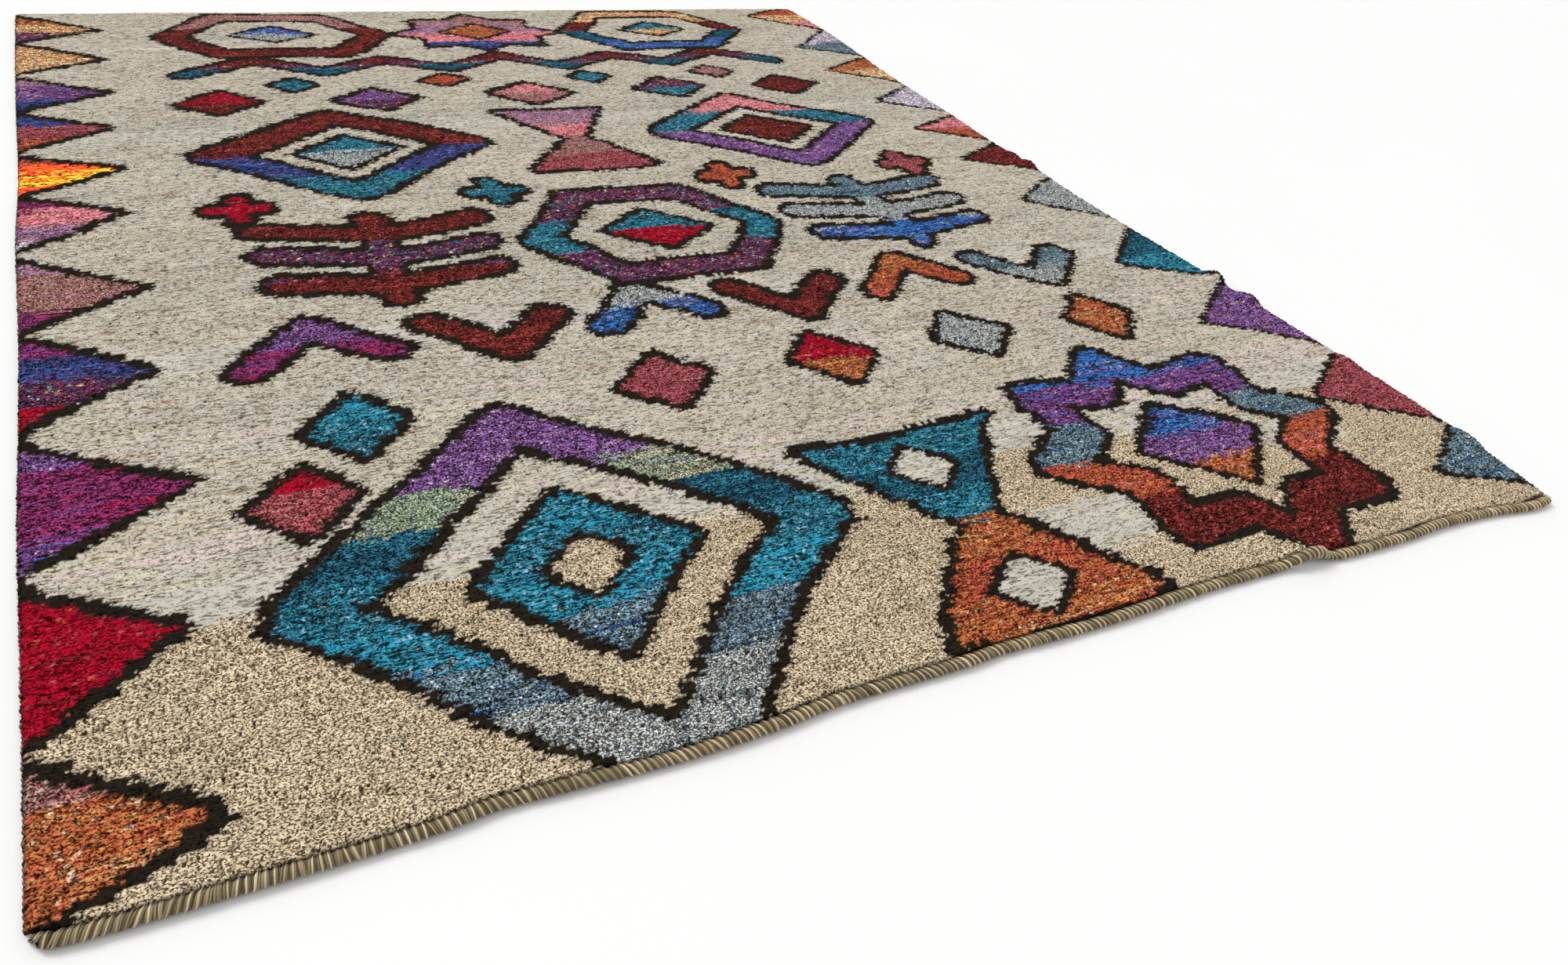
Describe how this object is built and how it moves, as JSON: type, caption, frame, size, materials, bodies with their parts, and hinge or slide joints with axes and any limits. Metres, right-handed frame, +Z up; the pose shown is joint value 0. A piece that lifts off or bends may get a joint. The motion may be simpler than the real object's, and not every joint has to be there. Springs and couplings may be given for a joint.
{
  "type": "handwoven recycled rug",
  "caption": "Large rectangular knotted pile rug lying flat, with toothed side borders, a thick overcast front end, wrapped sides and small lifted waves along one side.",
  "frame": {"origin": "middle of the rug's bounding rectangle, on the floor under it", "axes": "+X across the rug, +Y from the thick overcast front end to the back end, +Z up out of the pile"},
  "size_m": [2.5399, 3.26, 0.037],
  "materials": {
    "knotted_pile": "short knotted pile of recycled yarn, ivory and camel ground with many coloured motifs outlined in brown-black",
    "khaki_overcast": "thick khaki yarn overcast in close slanted turns",
    "thin_overcast": "thin grey-brown overcast yarn",
    "wrapped_side": "taupe-brown yarn wrapped round the outer warps"
  },
  "bodies": {
    "root": {"rug_cloth": "knotted_pile", "front_binding": "khaki_overcast", "back_binding": "thin_overcast", "left_selvedge": "wrapped_side", "right_selvedge": "wrapped_side"}
  },
  "joints": []
}
